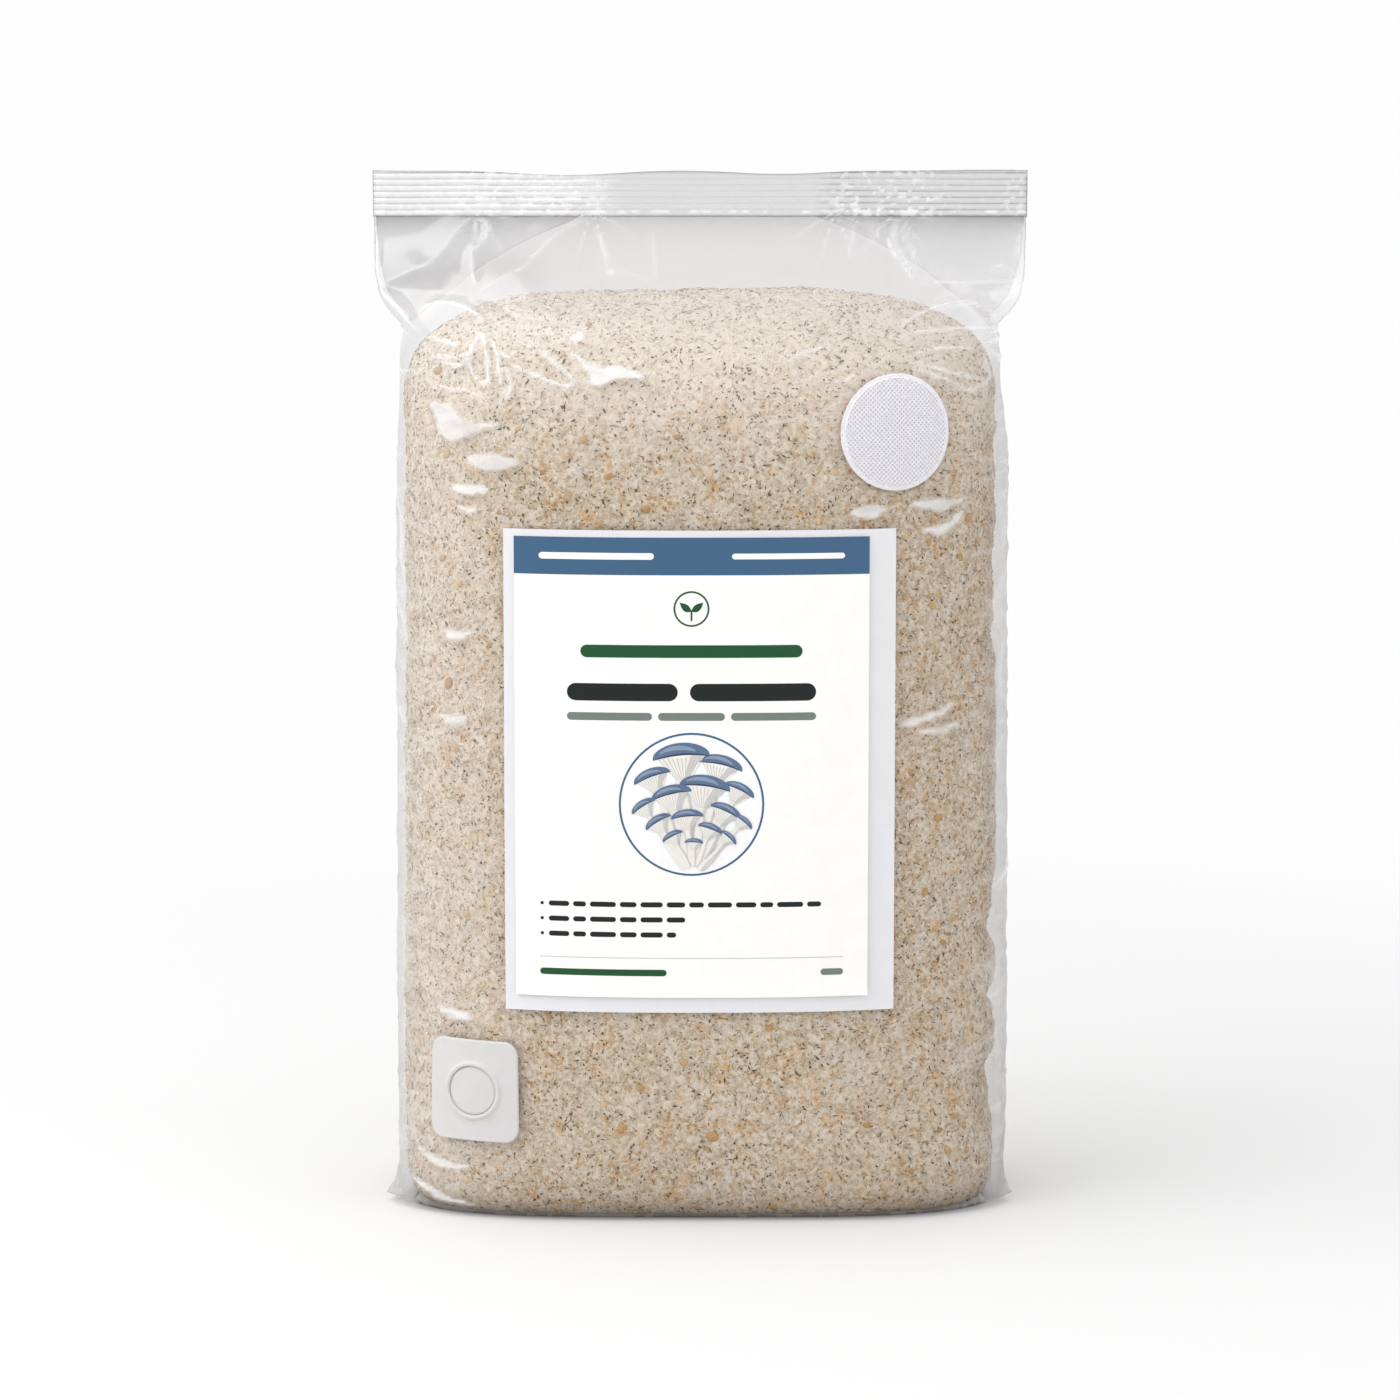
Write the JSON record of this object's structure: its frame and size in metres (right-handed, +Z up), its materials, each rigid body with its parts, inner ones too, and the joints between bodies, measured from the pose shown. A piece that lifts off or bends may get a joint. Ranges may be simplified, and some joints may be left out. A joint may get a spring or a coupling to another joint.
{
  "type": "mushroom grow bag",
  "caption": "Clear gusseted film bag packed with colonised sawdust substrate, heat-sealed across the top, with a round filter patch, a front label and a stick-on injection port.",
  "frame": {"origin": "middle of the flat base, at the surface the bag stands on", "axes": "+Z up towards the top seal, -Y out of the labelled front, +X to the right of the label as it is read"},
  "size_m": [0.22, 0.1074, 0.351],
  "materials": {
    "clear_film": "clear, glossy, creased",
    "substrate": "matt pressed sawdust and husk bound by white mycelium",
    "filter_fleece": "matt white spun-bonded fleece",
    "label_backing": "satin white sticker stock",
    "label_paper": "satin off-white paper, printed",
    "port_foam": "satin white",
    "port_silicone": "satin translucent silicone"
  },
  "bodies": {
    "root": {"bag_film": "clear_film", "substrate_block": "substrate", "filter_patch": "filter_fleece", "label_backing": "label_backing", "label_face": "label_paper", "port_pad": "port_foam", "port_septum": "port_silicone"}
  },
  "joints": []
}
